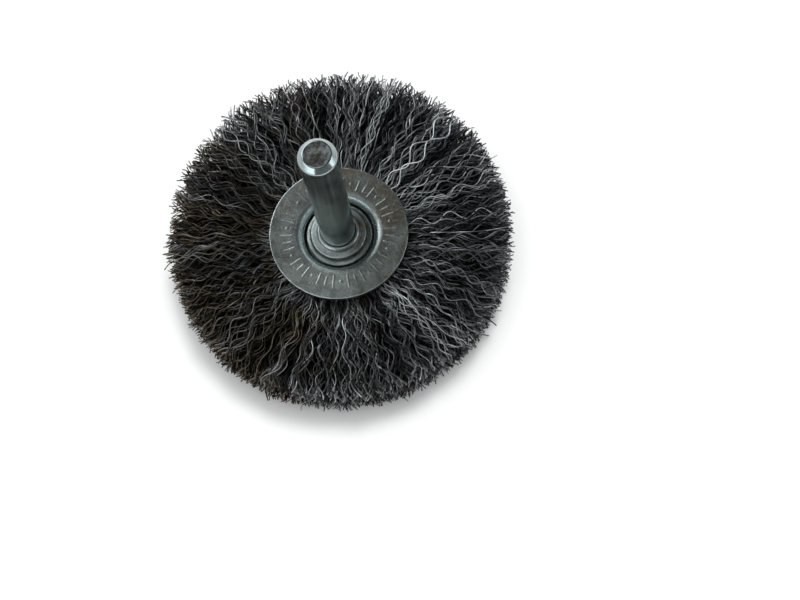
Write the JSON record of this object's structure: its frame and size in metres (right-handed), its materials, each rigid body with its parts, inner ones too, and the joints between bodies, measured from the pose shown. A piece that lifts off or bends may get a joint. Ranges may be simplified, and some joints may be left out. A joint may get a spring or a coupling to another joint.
{
  "type": "shank-mounted wire wheel brush",
  "caption": "Round wheel brush of crimped steel wire clamped between two dished flanges on a straight round drill shank with a chamfered end.",
  "frame": {"origin": "on the surface the brush lies on, under the middle of the brush", "axes": "+Z along the spindle towards the free end of the shank; +X and +Y are any two radial directions"},
  "size_m": [0.06, 0.06, 0.046],
  "materials": {
    "shank_zinc": "smooth zinc plating over turned steel",
    "flange_steel": "dull zinc plating over pressed sheet steel, lightly scratched",
    "collar_steel": "zinc plating over turned steel",
    "inner_steel": "plain steel, hidden inside the hub",
    "wire_steel": "dark drawn and crimped carbon steel wire with bright flanks"
  },
  "bodies": {
    "root": {"spindle": "shank_zinc", "front_flange": "flange_steel", "rear_flange": "flange_steel", "front_collar": "collar_steel", "rear_washer": "collar_steel", "spacer_sleeve": "inner_steel", "retaining_ring": "inner_steel", "wire_bundle_01": "wire_steel", "wire_bundle_02": "wire_steel", "wire_bundle_03": "wire_steel", "wire_bundle_04": "wire_steel", "wire_bundle_05": "wire_steel", "wire_bundle_06": "wire_steel", "wire_bundle_07": "wire_steel", "wire_bundle_08": "wire_steel", "wire_bundle_09": "wire_steel", "wire_bundle_10": "wire_steel", "wire_bundle_11": "wire_steel", "wire_bundle_12": "wire_steel", "wire_bundle_13": "wire_steel", "wire_bundle_14": "wire_steel", "wire_bundle_15": "wire_steel", "wire_bundle_16": "wire_steel", "wire_bundle_17": "wire_steel", "wire_bundle_18": "wire_steel", "wire_bundle_19": "wire_steel", "wire_bundle_20": "wire_steel", "wire_bundle_21": "wire_steel", "wire_bundle_22": "wire_steel", "wire_bundle_23": "wire_steel", "wire_bundle_24": "wire_steel", "wire_bundle_25": "wire_steel", "wire_bundle_26": "wire_steel", "wire_bundle_27": "wire_steel", "wire_bundle_28": "wire_steel", "wire_bundle_29": "wire_steel", "wire_bundle_30": "wire_steel", "wire_bundle_31": "wire_steel", "wire_bundle_32": "wire_steel"}
  },
  "joints": []
}
